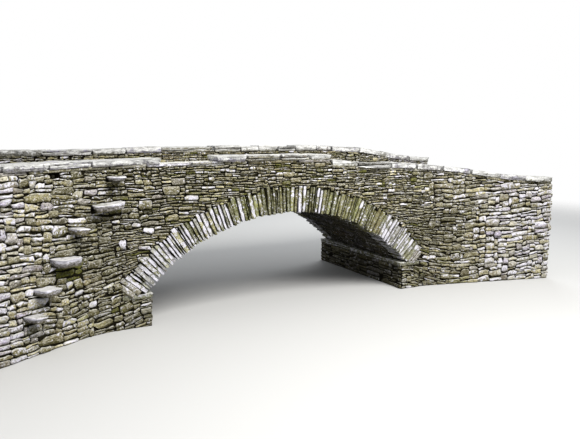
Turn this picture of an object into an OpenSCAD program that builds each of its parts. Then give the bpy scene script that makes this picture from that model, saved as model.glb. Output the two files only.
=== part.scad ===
// Slate packhorse bridge: one segmental arch, dry rubble walls that splay at both ends,
// low parapets with slab copings and a stile of long through-stones on one wing wall.
// X runs along the bridge, Y across it, Z up. The origin is under the middle of the arch
// at the foot of the walls. Front is -Y, left is -X.

/* [Arch] */
// Clear width between the springing lines
clear_span = 5400; // [4800:100:6000]
// Rise of the arch above its springing line
arch_rise = 1200; // [1050:50:1350]
// Height of the springing line above the foot of the walls
springing_h = 560; // [440:20:800]
// Depth of the barrel and of the skewbacks
ring_depth = 460; // [400:10:540]
// Mean thickness of a voussoir
voussoir_w = 72; // [60:2:110]
// Most that a voussoir is longer or shorter than the ring depth
ring_ragged = 45; // [0:5:60]
// Least that a voussoir stands out from the wall face
voussoir_proud = 18; // [4:1:30]
// Open joint between voussoirs
voussoir_gap = 8; // [4:1:12]

/* [Abutments] */
// How far the abutment face stands inside the springing line
abutment_step = 100; // [60:10:160]
// How far the springing course stands out from the abutment face
springing_lip = 30; // [10:5:60]
// Thickness of the springing course
springing_t = 85; // [60:5:120]
// Length of the abutment behind the wing walls' start
abutment_tail = 1030; // [600:10:1400]
// Number of slabs in each springing course
springing_slabs = 5; // [3:1:8]

/* [Walls and deck] */
// Width over both faces of the bridge
bridge_w = 3250; // [2800:50:3800]
// Thickness of the spandrels, wing walls and parapets
wall_t = 420; // [360:10:500]
// Cover of the road surface over the crown of the barrel
crown_cover = 120; // [110:10:300]
// Thickness of the pitched road surface
road_t = 80; // [60:5:90]
// Height of the front parapet's rubble above the road
front_parapet_h = 325; // [250:5:500]
// Height of the back parapet's rubble above the road
back_parapet_h = 455; // [300:5:600]
// Distance from the crown to the step down in the front parapet
front_step_x = 880; // [600:20:1300]
// Drop of the front parapet at that step
front_step = 110; // [40:5:140]
// Full drop of the front parapet further right
front_drop = 200; // [100:5:220]

/* [Wing walls] */
// Distance from the foot of the ring to the start of the wing walls
wing_start = 30; // [20:5:200]
// Radius of the bend on the outer face of a wing wall
bend_radius = 1500; // [1000:50:2500]
// Angle that the left wing walls turn away from the bridge
left_splay = 32; // [20:1:40]
// Angle that the right wing walls turn away from the bridge
right_splay = 14; // [8:1:30]
// Distance from the crown to the far corner of the coping at either end
half_length = 6200; // [5900:50:6800]
// Number of flat faces in the bend
bend_faces = 4; // [3:1:8]

/* [Coping] */
// Thickness of the front coping slabs
front_slab_t = 95; // [70:5:130]
// Thickness of the back coping slabs
back_slab_t = 110; // [70:5:140]
// Mean overhang of the coping slabs on each side
slab_overhang = 60; // [40:5:90]
// Thickness of the thin bed slabs under the front coping
bed_slab_t = 50; // [35:5:70]
// Overhang of the bed slabs on each side
bed_overhang = 25; // [10:5:35]
// Open joint between coping slabs
slab_gap = 12; // [6:1:20]

/* [Stile] */
// Height of the lowest step's top
first_step_h = 620; // [450:10:800]
// Drop from the top of the wall's rubble to the highest step's top
last_step_drop = 135; // [100:5:250]
// How far the stile steps stand out from the wall
step_reach = 270; // [200:10:340]
// How far the stile steps are built into the wall
step_tail = 300; // [200:10:340]
// Length of the gap left by the lost stone
lost_stone_l = 190; // [120:10:260]
// Height of the gap left by the lost stone
lost_stone_h = 85; // [60:5:110]
// Depth of the gap left by the lost stone
lost_stone_d = 150; // [80:10:220]

/* [Hidden] */

half_span = clear_span / 2;
half_w = bridge_w / 2;
core_w = half_w - wall_t;
arch_r = (half_span * half_span + arch_rise * arch_rise) / (2 * arch_rise);
arch_z = springing_h + arch_rise - arch_r;
half_angle = asin(half_span / arch_r);
outer_r = arch_r + ring_depth;
foot_x = outer_r * sin(half_angle);
foot_z = arch_z + outer_r * cos(half_angle);
wing_x = foot_x + wing_start;
tail_x = wing_x + abutment_tail;
abutment_x = half_span - abutment_step;
ledge_z = springing_h - springing_t;
road_z = arch_z + outer_r + crown_cover;
front_top = road_z + front_parapet_h;
back_top = road_z + back_parapet_h;
far = 4 * half_length;
tall = 4 * back_top;

// The wing walls' turn, and where their fill, their bend and their outer face end; way is -1 to
// the left and 1 to the right
function splay(way) = way < 0 ? left_splay : right_splay;
function end_x(way) = half_length - slab_overhang * sin(splay(way));
function bend_l(way) = bend_radius * splay(way) * PI / 180;
function straight(way) = (end_x(way) - wing_x - (bend_radius + wall_t) * sin(splay(way))) / cos(splay(way));
function wing_s(way) = wing_x + bend_l(way) + straight(way);

// Fall of the deck below the crown level along X: nearly level to the left, down to the right
deck_fall = [
  [-half_length * 1.2, -70],
  [-half_length * 0.716, -45],
  [-half_length * 0.477, -25],
  [-half_length * 0.318, 0],
  [half_length * 0.387, 0],
  [half_length * 0.565, -75],
  [half_length * 0.71, -200],
  [half_length * 0.806, -293],
  [half_length * 0.92, -350],
  [half_length * 1.2, -415]
];
function deck(x) = lookup(x, deck_fall);

// Further fall of the front parapet: a step down beyond the crown and a slope after it
front_fall = [
  [front_step_x - 2, 0],
  [front_step_x + 2, -front_step],
  [front_step_x * 2.2, -front_drop]
];
function front_dip(x) = lookup(x, front_fall);

// Plan line of a wall: s is the length along the outer face from the crown, n the depth
// into the wall and side is -1 for the front and 1 for the back
function turn(a, way) = max(0, min(splay(way), (a - wing_x) * 180 / (PI * bend_radius)));
function beyond(a, way) = max(0, a - wing_x - bend_l(way));
function run_x(a, n, way) = a <= wing_x ? a
  : wing_x + (bend_radius + n) * sin(turn(a, way)) + beyond(a, way) * cos(splay(way));
function run_y(a, n, way) = a <= wing_x ? half_w - n
  : half_w + bend_radius - (bend_radius + n) * cos(turn(a, way)) + beyond(a, way) * sin(splay(way));
function plan(s, n, side) = [sign(s) * run_x(abs(s), n, sign(s)), side * run_y(abs(s), n, sign(s))];
function bend_s(k, way) = wing_x + bend_l(way) * k / bend_faces;
function stations(a, b, way) = concat(
  [a],
  [for (k = [0 : bend_faces]) let (s = bend_s(k, way)) if (s > a + 1 && s < b - 1) s],
  [b]
);
function backwards(v) = [for (i = [len(v) - 1 : -1 : 0]) v[i]];
function wall_plan(a, b, n0, n1, way, side) = concat(
  [for (s = stations(a, b, way)) plan(way * s, n0, side)],
  backwards([for (s = stations(a, b, way)) plan(way * s, n1, side)])
);
function core_plan(a, b, way) = concat(
  [for (s = stations(a, b, way)) plan(way * s, wall_t, -1)],
  backwards([for (s = stations(a, b, way)) plan(way * s, wall_t, 1)])
);

// Outlines seen from the front that follow the fall of the deck, and that of the front parapet
function inside(list, a, b) = [for (p = list) if (p[0] > a + 1 && p[0] < b - 1) p[0]];
function deck_x(a, b) = concat([a], inside(deck_fall, a, b), [b]);
function front_x(a, b) = let (middle = inside(front_fall, a, b)) concat(
  [a],
  [for (x = inside(deck_fall, a, b)) if (x < front_fall[0][0]) x],
  middle,
  [for (x = inside(deck_fall, a, b)) if (x > front_fall[2][0]) x],
  [b]
);
function level(x, side) = deck(x) + (side < 0 ? front_dip(x) : 0);
function level_x(a, b, side) = side < 0 ? front_x(a, b) : deck_x(a, b);
function band(a, b, lo, hi) = concat(
  [for (x = deck_x(a, b)) [x, lo + deck(x)]],
  backwards([for (x = deck_x(a, b)) [x, hi + deck(x)]])
);
function under(a, b, hi) = concat([[b, 0], [a, 0]], [for (x = deck_x(a, b)) [x, hi + deck(x)]]);
function wall_band(a, b, lo, hi, side) = concat(
  [for (x = level_x(a, b, side)) [x, lo + level(x, side)]],
  backwards([for (x = level_x(a, b, side)) [x, hi + level(x, side)]])
);
function wall_under(a, b, hi, side) = concat(
  [[b, 0], [a, 0]],
  [for (x = level_x(a, b, side)) [x, hi + level(x, side)]]
);

// Turns an outline drawn in X and Z into a prism between two values of Y
module across(y0, y1) {
  translate([0, y1, 0])
    rotate([90, 0, 0])
      linear_extrude(height = y1 - y0)
        children();
}

// Arch ring: each half has its own run of voussoir widths, scaled to meet at the crown
half_count = round(half_angle * PI / 180 * arch_r / voussoir_w);
count = 2 * half_count;
function raw_widths(seed) = rands(0.74, 1.32, half_count, seed);
function total(v, n) = n == 0 ? 0 : v[n - 1] + total(v, n - 1);
function half_joints(seed) = let (w = raw_widths(seed), all = total(w, half_count))
  [for (i = [0 : half_count]) half_angle * total(w, i) / all];
function joints(seed) = let (l = half_joints(seed), r = half_joints(seed + 1)) concat(
  [for (i = [half_count : -1 : 1]) -l[i]],
  r
);
function lengths(seed) = let (v = rands(-ring_ragged, ring_ragged, count, seed + 2))
  [for (i = [0 : count - 1]) ring_depth + (i == 0 || i == count - 1 ? -ring_ragged / 2 : v[i])];
function reaches(seed) = rands(0, 30, count, seed + 3);
function drops(seed) = rands(-6, 8, count, seed + 4);
front_seed = 41;
back_seed = 73;
front_joints = joints(front_seed);
back_joints = joints(back_seed);
front_lengths = lengths(front_seed);
back_lengths = lengths(back_seed);

// Slack that keeps a voussoir's bed just clear of the stones it bears on
bed_slack = 0.03;

function ring_point(angle, r) = [r * sin(angle), arch_z + r * cos(angle)];
function gap_angle(gap, r) = gap / r * 180 / PI;
function wedge_point(angle, mid, d) = ring_point(angle, d / cos(angle - mid));

// One voussoir is a wedge whose bed and top are square to its own middle line,
// with a gap on each side: half a joint, or the slack where it bears on a skewback
module voussoir(a0, a1, length, drop, gap0, gap1) {
  mid = (a0 + a1) / 2;
  lo = arch_r - drop;
  hi = arch_r + length - bed_slack;
  polygon([
    wedge_point(a0 + gap_angle(gap0, lo), mid, lo),
    wedge_point(a1 - gap_angle(gap1, lo), mid, lo),
    wedge_point(a1 - gap_angle(gap1, hi), mid, hi),
    wedge_point(a0 + gap_angle(gap0, hi), mid, hi)
  ]);
}

module ring(angles, depths, seed, side) {
  reach = reaches(seed);
  drop = drops(seed);
  for (i = [0 : count - 1]) {
    face = half_w + voussoir_proud + reach[i];
    gap0 = i == 0 ? bed_slack : voussoir_gap / 2;
    gap1 = i == count - 1 ? bed_slack : voussoir_gap / 2;
    across(side < 0 ? -face : core_w, side < 0 ? -core_w : face)
      voussoir(angles[i], angles[i + 1], depths[i], drop[i], gap0, gap1);
  }
}

// Stepped line over the tops of the voussoirs, from one joint to another
function ring_top(angles, depths, i) = let (half = (angles[i + 1] - angles[i]) / 2)
  (arch_r + depths[i]) / cos(half);
function ragged(angles, depths, a, b) = [
  for (i = [a : b - 1]) for (k = [0, 1]) ring_point(angles[i + k], ring_top(angles, depths, i))
];

module spandrel(angles, depths, way, side) {
  a = way < 0 ? 0 : half_count;
  b = way < 0 ? half_count : count;
  line = ragged(angles, depths, a, b);
  foot = [[way * foot_x, foot_z], [way * wing_x, foot_z]];
  top = way < 0 ? backwards(deck_x(-wing_x, 0)) : deck_x(0, wing_x);
  points = concat(
    foot,
    [for (x = backwards(top)) [x, road_z + deck(x)]],
    way < 0 ? backwards(line) : line
  );
  across(side < 0 ? -half_w : core_w, side < 0 ? -core_w : half_w)
    polygon(points);
}

// Barrel between the two rings, cut into three along the joints of its courses
haunch_angle = half_angle / 3;
module barrel(a0, a1) {
  across(-core_w, core_w)
    intersection() {
      difference() {
        translate([0, arch_z])
          circle(r = outer_r, $fn = 240);
        translate([0, arch_z])
          circle(r = arch_r, $fn = 240);
      }
      polygon([
        [0, arch_z],
        ring_point(a0, 2 * outer_r),
        ring_point((a0 + a1) / 2, 2 * outer_r),
        ring_point(a1, 2 * outer_r)
      ]);
    }
}

module abutment(way) {
  linear_extrude(height = ledge_z)
    polygon([
      [way * abutment_x, -half_w],
      [way * wing_x, -half_w],
      [way * wing_x, -core_w],
      [way * tail_x, -core_w],
      [way * tail_x, core_w],
      [way * wing_x, core_w],
      [way * wing_x, half_w],
      [way * abutment_x, half_w]
    ]);
}

// Flat slabs on which the arch springs, a little proud of the abutment as a ledge
module springing_course(way) {
  pitch = bridge_w / springing_slabs;
  lips = rands(-12, 12, springing_slabs, 17 + way);
  for (i = [0 : springing_slabs - 1]) {
    y0 = -half_w + i * pitch + (i == 0 ? 0 : slab_gap / 2);
    y1 = -half_w + (i + 1) * pitch - (i == springing_slabs - 1 ? 0 : slab_gap / 2);
    x0 = abutment_x - springing_lip + (springing_lip > 12 ? lips[i] : 0);
    across(y0, y1)
      polygon([
        [way * x0, ledge_z],
        [way * wing_x, ledge_z],
        [way * wing_x, springing_h],
        [way * x0, springing_h]
      ]);
  }
}

module skewback(way) {
  across(-half_w, half_w)
    polygon([
      [way * half_span, springing_h],
      [way * wing_x, springing_h],
      [way * wing_x, foot_z],
      [way * foot_x, foot_z]
    ]);
  across(-core_w, core_w)
    polygon([
      [way * wing_x, ledge_z],
      [way * tail_x, ledge_z],
      [way * tail_x, foot_z],
      [way * wing_x, foot_z]
    ]);
}

module parapet(side, top) {
  across(side < 0 ? -half_w : core_w, side < 0 ? -core_w : half_w)
    polygon(concat(
      [for (x = deck_x(-wing_x, wing_x)) [x, road_z + deck(x)]],
      backwards([for (x = level_x(-wing_x, wing_x, side)) [x, top + level(x, side)]])
    ));
}

module wing(way, side, top) {
  intersection() {
    linear_extrude(height = tall)
      polygon(wall_plan(wing_x, wing_s(way), 0, wall_t, way, side));
    across(-far, far)
      polygon(way < 0 ? wall_under(-far, -1, top, side) : wall_under(1, far, top, side));
  }
}

module haunch_fill(way) {
  across(-core_w, core_w)
    difference() {
      polygon(concat(
        [[way * wing_x, foot_z], [0, foot_z]],
        [for (x = way < 0 ? backwards(deck_x(-wing_x, 0)) : deck_x(0, wing_x))
          [x, road_z - road_t + deck(x)]]
      ));
      translate([0, arch_z])
        circle(r = outer_r, $fn = 240);
    }
}

module approach_fill(way) {
  difference() {
    intersection() {
      linear_extrude(height = tall)
        polygon(core_plan(wing_x, wing_s(way), way));
      across(-far, far)
        polygon(way < 0 ? under(-far, -1, road_z - road_t) : under(1, far, road_z - road_t));
    }
    translate([way < 0 ? -tail_x : 0, -core_w, -1])
      cube([tail_x, 2 * core_w, foot_z + 1]);
  }
}

module roadway(way) {
  intersection() {
    linear_extrude(height = tall)
      polygon(core_plan(wing_x, wing_s(way), way));
    across(-far, far)
      polygon(way < 0 ? band(-far, -1, road_z - road_t, road_z) : band(1, far, road_z - road_t, road_z));
  }
}

// Copings: the joints are lengths along the outer face, as shares of the wing's end, with one at
// the step in the front parapet
front_step_s = front_step_x / wing_s(1);
front_joints_s = [-1, -0.885, -0.78, -0.667, -0.55, -0.37, -0.222, -0.134, -0.03,
  0.065, front_step_s, 0.24, 0.365, 0.47, 0.575, 0.68, 0.79, 0.89, 1];
back_joints_s = [-1, -0.86, -0.73, -0.585, -0.47, -0.365, -0.25, -0.065, 0.035,
  0.105, 0.185, 0.26, 0.35, 0.42, 0.54, 0.7, 0.86, 1];
bed_joints_s = [-1, -0.93, -0.82, -0.715, -0.6, -0.5, -0.41, -0.29, -0.2, -0.08,
  0.03, front_step_s, 0.23, 0.32, 0.42, 0.52, 0.63, 0.74, 0.84, 0.94, 1];
lost_slab = 5;
function place(share) = share * wing_s(sign(share));

// One slab: an uneven eight-sided plan laid on the wall top and following its fall
module slab(s0, s1, side, seat, thick, out, inn) {
  l = s1 - s0;
  intersection() {
    linear_extrude(height = tall)
      polygon([
        plan(s0, -out[0], side),
        plan(s0 + l * 0.36, -out[2], side),
        plan(s0 + l * 0.68, -out[3], side),
        plan(s1, -out[1], side),
        plan(s1, wall_t + inn[1], side),
        plan(s0 + l * 0.6, wall_t + inn[3], side),
        plan(s0 + l * 0.3, wall_t + inn[2], side),
        plan(s0, wall_t + inn[0], side)
      ]);
    across(-far, far)
      polygon(wall_band(-far, far, seat, seat + thick, side));
  }
}

// A run of slabs from joint a to joint b, leaving out the one numbered skip
module slab_run(list, a, b, side, seat, thick, overhang, vary, lift, skip, seed) {
  last = len(list) - 1;
  outs = rands(-vary, vary, 4 * len(list), seed);
  inns = rands(-vary, vary, 4 * len(list), seed + 1);
  ups = rands(-lift, lift, len(list), seed + 2);
  for (i = [a : b - 1]) {
    if (i != skip) {
      s0 = place(list[i]) + (i == 0 ? 0 : slab_gap / 2);
      s1 = place(list[i + 1]) - (i + 1 == last ? 0 : slab_gap / 2);
      fixed = [i == 0 ? 0 : 1, i + 1 == last ? 0 : 1, 1, 1];
      out = [for (k = [0 : 3]) overhang + fixed[k] * outs[4 * i + k]];
      inn = [for (k = [0 : 3]) overhang + fixed[k] * inns[4 * i + k]];
      slab(s0, s1, side, seat, thick + ups[i], out, inn);
    }
  }
}

module front_coping(a, b) {
  seat = front_top + bed_slab_t;
  slab_run(front_joints_s, a, b, -1, seat, front_slab_t, slab_overhang, 14, 8, lost_slab, 11);
}
module front_bed(a, b) {
  slab_run(bed_joints_s, a, b, -1, front_top, bed_slab_t, bed_overhang, 8, 0, -1, 21);
}
module back_coping(a, b) {
  slab_run(back_joints_s, a, b, 1, back_top, back_slab_t, slab_overhang, 14, 8, -1, 31);
}

// Stile, lowest step first: place along the wall, length, share of the climb, thickness, tilt down to
// the right, and how much of the reach is left at the outer left and right corners
steps = [
  [0.728, 270, 0, 85, 3, 0.6, 0.85],
  [0.696, 320, 0.191, 105, 3, 0.55, 0.9],
  [0.638, 430, 0.393, 130, 1, 0.5, 0.9],
  [0.594, 280, 0.605, 95, 5, 0.7, 0.6],
  [0.514, 490, 0.78, 100, -6, 0.8, 0.75],
  [0.489, 270, 1, 75, 0, 0.75, 0.85]
];
climb = front_top - last_step_drop - first_step_h;
function step_top(i) = first_step_h + steps[i][2] * climb;

// Seven-sided outline of a through-stone, wider in the wall than at its worn outer corners
module step_outline(length, left, right) {
  polygon([
    [-length / 2, step_tail],
    [-length / 2, -step_reach * left],
    [-length * 0.34, -step_reach * 0.95],
    [length * 0.08, -step_reach],
    [length * 0.36, -step_reach * 0.97],
    [length / 2, -step_reach * right],
    [length / 2, step_tail]
  ]);
}
module stile_step(i) {
  s = steps[i][0] * wing_s(-1);
  foot = plan(-s, 0, -1);
  translate([foot[0], foot[1], step_top(i)])
    rotate([0, steps[i][4], turn(s, -1)])
      translate([0, 0, -steps[i][3]])
        linear_extrude(height = steps[i][3])
          step_outline(steps[i][1], steps[i][5], steps[i][6]);
}

// The through-stones' tails, cut out of whatever walling they are built into
module step_pockets() {
  for (i = [0 : len(steps) - 1])
    stile_step(i);
}

// Gap high in the stile's wall where a stone has fallen out from under the bed slab
module lost_stone() {
  s = 0.648 * wing_s(-1);
  foot = plan(-s, 0, -1);
  top = front_top + deck(foot[0]);
  translate([foot[0], foot[1], top - lost_stone_h])
    rotate([0, 0, turn(s, -1)])
      translate([-lost_stone_l / 2, -lost_stone_d, 0])
        cube([lost_stone_l, 2 * lost_stone_d, 2 * lost_stone_h]);
}

module left_abutment() { color("#6f6b60") abutment(-1); }
module right_abutment() { color("#6f6b60") abutment(1); }
module left_springing_course() { color("#8d8a80") springing_course(-1); }
module right_springing_course() { color("#8d8a80") springing_course(1); }
module left_skewback() { color("#77736a") skewback(-1); }
module right_skewback() { color("#77736a") skewback(1); }
module barrel_left() { color("#5d5a52") barrel(-half_angle, -haunch_angle); }
module barrel_crown() { color("#65625a") barrel(-haunch_angle, haunch_angle); }
module barrel_right() { color("#5d5a52") barrel(haunch_angle, half_angle); }
module front_arch_ring() { color("#a9a79c") ring(front_joints, front_lengths, front_seed, -1); }
module back_arch_ring() { color("#a9a79c") ring(back_joints, back_lengths, back_seed, 1); }
module front_spandrel_left() {
  color("#8f8a7a")
    difference() {
      spandrel(front_joints, front_lengths, -1, -1);
      step_pockets();
    }
}
module front_spandrel_right() { color("#8f8a7a") spandrel(front_joints, front_lengths, 1, -1); }
module back_spandrel_left() { color("#8f8a7a") spandrel(back_joints, back_lengths, -1, 1); }
module back_spandrel_right() { color("#8f8a7a") spandrel(back_joints, back_lengths, 1, 1); }
module front_parapet() {
  color("#98937f")
    difference() {
      parapet(-1, front_top);
      step_pockets();
    }
}
module back_parapet() { color("#98937f") parapet(1, back_top); }
module front_left_wing() {
  color("#9a9483")
    difference() {
      wing(-1, -1, front_top);
      step_pockets();
      lost_stone();
    }
}
module front_right_wing() { color("#9a9483") wing(1, -1, front_top); }
module back_left_wing() { color("#9a9483") wing(-1, 1, back_top); }
module back_right_wing() { color("#9a9483") wing(1, 1, back_top); }
module left_haunch_fill() { color("#6b5f4c") haunch_fill(-1); }
module right_haunch_fill() { color("#6b5f4c") haunch_fill(1); }
module left_approach_fill() { color("#6b5f4c") approach_fill(-1); }
module right_approach_fill() { color("#6b5f4c") approach_fill(1); }
module roadway_left() { color("#7b776c") roadway(-1); }
module roadway_right() { color("#7b776c") roadway(1); }
module roadway_crown() {
  color("#7b776c")
    across(-core_w, core_w)
      polygon(band(-wing_x, wing_x, road_z - road_t, road_z));
}
module front_bed_left() { color("#a3a196") front_bed(0, 6); }
module front_bed_crown() { color("#a3a196") front_bed(6, 14); }
module front_bed_right() { color("#a3a196") front_bed(14, 20); }
module front_coping_left() { color("#c4c2bb") front_coping(0, 4); }
module front_coping_crown() { color("#c4c2bb") front_coping(4, 13); }
module front_coping_right() { color("#c4c2bb") front_coping(13, 18); }
module back_coping_left() { color("#c4c2bb") back_coping(0, 4); }
module back_coping_crown() { color("#c4c2bb") back_coping(4, 13); }
module back_coping_right() { color("#c4c2bb") back_coping(13, 17); }
module stile_step_1() { color("#bdbbb4") stile_step(0); }
module stile_step_2() { color("#bdbbb4") stile_step(1); }
module stile_step_3() { color("#bdbbb4") stile_step(2); }
module stile_step_4() { color("#bdbbb4") stile_step(3); }
module stile_step_5() { color("#bdbbb4") stile_step(4); }
module stile_step_6() { color("#bdbbb4") stile_step(5); }

left_abutment();
right_abutment();
left_springing_course();
right_springing_course();
left_skewback();
right_skewback();
barrel_left();
barrel_crown();
barrel_right();
front_arch_ring();
back_arch_ring();
front_spandrel_left();
front_spandrel_right();
back_spandrel_left();
back_spandrel_right();
front_parapet();
back_parapet();
front_left_wing();
front_right_wing();
back_left_wing();
back_right_wing();
left_haunch_fill();
right_haunch_fill();
left_approach_fill();
right_approach_fill();
roadway_left();
roadway_crown();
roadway_right();
front_bed_left();
front_bed_crown();
front_bed_right();
front_coping_left();
front_coping_crown();
front_coping_right();
back_coping_left();
back_coping_crown();
back_coping_right();
stile_step_1();
stile_step_2();
stile_step_3();
stile_step_4();
stile_step_5();
stile_step_6();
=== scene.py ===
import bpy
import bmesh
import math
import random
import numpy as np
from mathutils import Matrix, Vector, noise


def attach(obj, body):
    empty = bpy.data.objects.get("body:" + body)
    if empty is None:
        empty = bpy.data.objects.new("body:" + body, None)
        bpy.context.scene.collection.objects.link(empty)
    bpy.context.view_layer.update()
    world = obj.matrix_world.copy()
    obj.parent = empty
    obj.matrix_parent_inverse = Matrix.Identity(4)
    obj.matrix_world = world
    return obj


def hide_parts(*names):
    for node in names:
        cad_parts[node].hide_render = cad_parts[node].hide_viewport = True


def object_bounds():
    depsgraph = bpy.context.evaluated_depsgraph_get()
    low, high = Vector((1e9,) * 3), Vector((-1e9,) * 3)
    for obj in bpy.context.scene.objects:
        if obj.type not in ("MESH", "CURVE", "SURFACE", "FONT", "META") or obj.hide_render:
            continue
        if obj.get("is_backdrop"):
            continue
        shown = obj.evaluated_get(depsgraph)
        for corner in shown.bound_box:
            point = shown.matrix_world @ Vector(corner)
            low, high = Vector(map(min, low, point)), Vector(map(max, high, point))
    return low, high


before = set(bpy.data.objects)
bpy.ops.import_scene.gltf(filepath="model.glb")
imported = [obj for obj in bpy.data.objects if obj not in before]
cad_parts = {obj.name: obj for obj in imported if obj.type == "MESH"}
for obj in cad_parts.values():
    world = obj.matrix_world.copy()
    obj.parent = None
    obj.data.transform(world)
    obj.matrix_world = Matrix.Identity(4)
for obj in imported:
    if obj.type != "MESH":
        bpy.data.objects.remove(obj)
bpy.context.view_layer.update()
print("frame loaded:", len(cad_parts), "nodes")


# sizes of the bridge, in metres, as the solids have them
bridge = {
    "halfSpan": 2.7,
    "rise": 1.2,
    "springZ": 0.56,
    "ringDepth": 0.46,
    "halfWidth": 1.625,
    "wallThick": 0.42,
    "bendRadius": 1.5,
    "splay": {-1: math.radians(32), 1: math.radians(14)},
    "halfLength": 6.2,
    "overhang": 0.06,
    "wingGap": 0.03,
    "roadCover": 0.12,
    "frontRubble": 0.325,
    "backRubble": 0.455,
    "ledge": 0.085,
    "abutmentStep": 0.1,
}
halfSpan, rise, springZ = bridge["halfSpan"], bridge["rise"], bridge["springZ"]
archRadius = (halfSpan ** 2 + rise ** 2) / (2 * rise)
archZ = springZ + rise - archRadius
outerRadius = archRadius + bridge["ringDepth"]
halfAngle = math.asin(halfSpan / archRadius)
footX, footZ = outerRadius * math.sin(halfAngle), archZ + outerRadius * math.cos(halfAngle)
wingX = footX + bridge["wingGap"]
halfWidth, wallThick, bendRadius = bridge["halfWidth"], bridge["wallThick"], bridge["bendRadius"]
coreWidth = halfWidth - wallThick
roadZ = archZ + outerRadius + bridge["roadCover"]
topZ = {-1: roadZ + bridge["frontRubble"], 1: roadZ + bridge["backRubble"]}
faceX = halfSpan - bridge["abutmentStep"]
splay, endX, bendLength, wingEnd = bridge["splay"], {}, {}, {}
for way in (-1, 1):
    endX[way] = bridge["halfLength"] - bridge["overhang"] * math.sin(splay[way])
    bendLength[way] = bendRadius * splay[way]
    run = (endX[way] - wingX - (bendRadius + wallThick) * math.sin(splay[way])) / math.cos(splay[way])
    wingEnd[way] = wingX + bendLength[way] + run

# how the road and the walls fall along the bridge, and how much further the front parapet drops
fallX = [k * bridge["halfLength"]
         for k in (-1.2, -0.716, -0.477, -0.318, 0.387, 0.565, 0.71, 0.806, 0.92, 1.2)]
fallZ = [-0.07, -0.045, -0.025, 0, 0, -0.075, -0.2, -0.293, -0.35, -0.415]
dipX, dipZ = [0.878, 0.882, 1.936], [0, -0.11, -0.2]


def deck(x):
    return float(np.interp(x, fallX, fallZ))


# top of the rubble at a point along a wall: side is -1 at the front, where the parapet steps down
def wallTop(s, side):
    x = planPoint(s, 0, side)[0].x
    dip = float(np.interp(x, dipX, dipZ)) if side < 0 else 0.0
    return topZ[side] + deck(x) + dip


# point on a wall line and the way it faces: s runs along the outer face, n goes into the wall
def planPoint(s, n, side):
    a, way = abs(s), 1 if s >= 0 else -1
    t = min(max((a - wingX) / bendRadius, 0), splay[way])
    straight = max(0, a - wingX - bendLength[way])
    if a <= wingX:
        x, y = a, halfWidth - n
    else:
        x = wingX + (bendRadius + n) * math.sin(t) + straight * math.cos(t)
        y = halfWidth + bendRadius - (bendRadius + n) * math.cos(t) + straight * math.sin(t)
    return Vector((way * x, side * y, 0)), Vector((-way * math.sin(t), side * math.cos(t), 0))


# shader nodes: maths on sockets is written as plain expressions
class Wire:
    def __init__(self, shader, socket):
        self.shader, self.socket = shader, socket

    def maths(self, operation, *values, clamp=False):
        return self.shader.node("ShaderNodeMath", {"operation": operation, "use_clamp": clamp},
                                dict(enumerate((self,) + values)))

    def __add__(self, other):
        return self.maths("ADD", other)

    def __sub__(self, other):
        return self.maths("SUBTRACT", other)

    def __rsub__(self, other):
        return (self * -1) + other

    def __mul__(self, other):
        return self.maths("MULTIPLY", other)

    __radd__, __rmul__ = __add__, __mul__

    # 0 below low, 1 above high, smooth between
    def band(self, low, high):
        return self.shader.node("ShaderNodeMapRange", {"interpolation_type": "SMOOTHSTEP"},
                                {"Value": self, "From Min": low, "From Max": high})

    def clip(self):
        return self.maths("ADD", 0.0, clamp=True)


# how much the stone shines
gloss = 0.12


class Shader:
    def __init__(self, name):
        self.material = bpy.data.materials.new(name)
        self.material.use_nodes = True
        self.tree = self.material.node_tree
        self.tree.nodes.clear()
        self.surface = self.tree.nodes.new("ShaderNodeBsdfPrincipled")
        output = self.tree.nodes.new("ShaderNodeOutputMaterial")
        self.tree.links.new(self.surface.outputs[0], output.inputs["Surface"])

    def node(self, kind, settings=None, inputs=None, out=0):
        made = self.tree.nodes.new(kind)
        for key, value in (settings or {}).items():
            setattr(made, key, value)
        for key, value in (inputs or {}).items():
            if isinstance(value, Wire):
                self.tree.links.new(value.socket, made.inputs[key])
            else:
                made.inputs[key].default_value = value
        return Wire(self, made.outputs[out])

    def mix(self, factor, a, b, blend="MIX"):
        a, b = [v if isinstance(v, Wire) else (*v, 1) for v in (a, b)]
        return self.node("ShaderNodeMix", {"data_type": "RGBA", "blend_type": blend, "clamp_factor": True},
                         {0: factor, 6: a, 7: b}, 2)

    def place(self):
        return self.node("ShaderNodeTexCoord", None, None, 3)

    def attribute(self, name, out):
        return self.node("ShaderNodeAttribute", {"attribute_name": name}, None, out)

    def part(self, vector, k):
        return self.node("ShaderNodeSeparateXYZ", None, {"Vector": vector}, k)

    def stretch(self, vector, scale, shift=(0, 0, 0)):
        return self.node("ShaderNodeMapping", None, {"Vector": vector, "Scale": scale, "Location": shift})

    def clouds(self, vector, scale, detail=3.0, rough=0.55, warp=0.0):
        return self.node("ShaderNodeTexNoise", None, {
            "Vector": vector, "Scale": scale, "Detail": detail, "Roughness": rough, "Distortion": warp})

    def cells(self, vector, scale, feature="F1"):
        return self.node("ShaderNodeTexVoronoi", {"feature": feature}, {"Vector": vector, "Scale": scale})

    def finish(self, colour, roughness, height, strength, distance):
        bump = self.node("ShaderNodeBump", None,
                         {"Strength": strength, "Distance": distance, "Height": height})
        for key, wire in (("Base Color", colour), ("Roughness", roughness), ("Normal", bump)):
            self.tree.links.new(wire.socket, self.surface.inputs[key])
        self.surface.inputs["Specular IOR Level"].default_value = gloss
        return self.material


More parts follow.
